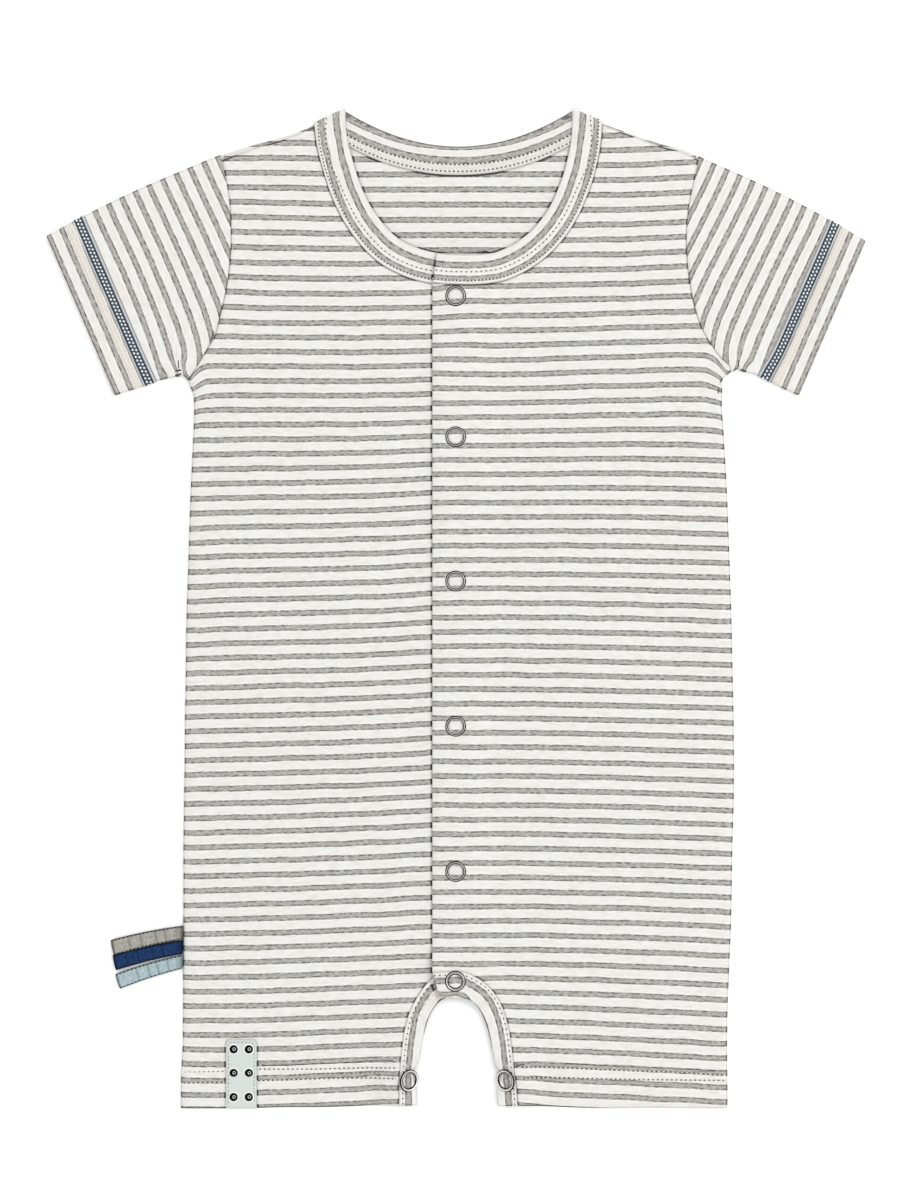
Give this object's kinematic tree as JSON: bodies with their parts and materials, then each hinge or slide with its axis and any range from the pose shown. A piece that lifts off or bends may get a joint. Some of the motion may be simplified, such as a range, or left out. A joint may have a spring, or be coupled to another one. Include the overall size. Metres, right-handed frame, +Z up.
{
  "type": "baby romper",
  "caption": "Short-sleeved, short-legged striped jersey baby romper laid flat, with a studded front placket and inseam, round neck, ribbon side loops and a hem patch.",
  "frame": {"origin": "on the surface that the romper lies on, at the centre of its overall box", "axes": "+Y from the hems to the neck, +X to the wearer's left, +Z up off the surface"},
  "size_m": [0.3774, 0.4594, 0.0085],
  "materials": {
    "striped_jersey": "off-white cotton jersey with melange grey stripes",
    "striped_band": "folded strip of the striped jersey, coverstitched",
    "ribbon_taupe": "woven taupe ribbon",
    "ribbon_navy": "woven navy ribbon",
    "ribbon_pale_blue": "woven pale blue ribbon",
    "patch_cloth": "pale grey-green woven tape, sewn on",
    "patch_dots": "domed near-black dots",
    "stud_metal": "satin nickel-free press stud"
  },
  "bodies": {
    "root": {"back_panel": "striped_jersey", "front_right_panel": "striped_jersey", "front_left_panel": "striped_jersey", "sleeve_right": "striped_jersey", "sleeve_left": "striped_jersey", "neckband_back": "striped_band", "neckband_front_right": "striped_band", "neckband_front_left": "striped_band", "inseam_band_back": "striped_band", "inseam_band_front_right": "striped_band", "inseam_band_front_left": "striped_band", "side_loop_taupe": "ribbon_taupe", "side_loop_navy": "ribbon_navy", "side_loop_pale_blue": "ribbon_pale_blue", "hem_patch": "patch_cloth", "patch_dot_1": "patch_dots", "patch_dot_2": "patch_dots", "patch_dot_3": "patch_dots", "patch_dot_4": "patch_dots", "patch_dot_5": "patch_dots", "patch_dot_6": "patch_dots", "stud_ring_1": "stud_metal", "stud_ring_2": "stud_metal", "stud_ring_3": "stud_metal", "stud_ring_4": "stud_metal", "stud_ring_5": "stud_metal", "stud_ring_6": "stud_metal", "stud_ring_7": "stud_metal", "stud_ring_8": "stud_metal", "stud_half_1": "stud_metal", "stud_half_2": "stud_metal", "stud_half_3": "stud_metal", "stud_half_4": "stud_metal", "stud_half_5": "stud_metal", "stud_half_6": "stud_metal", "stud_half_7": "stud_metal", "stud_half_8": "stud_metal"}
  },
  "joints": []
}
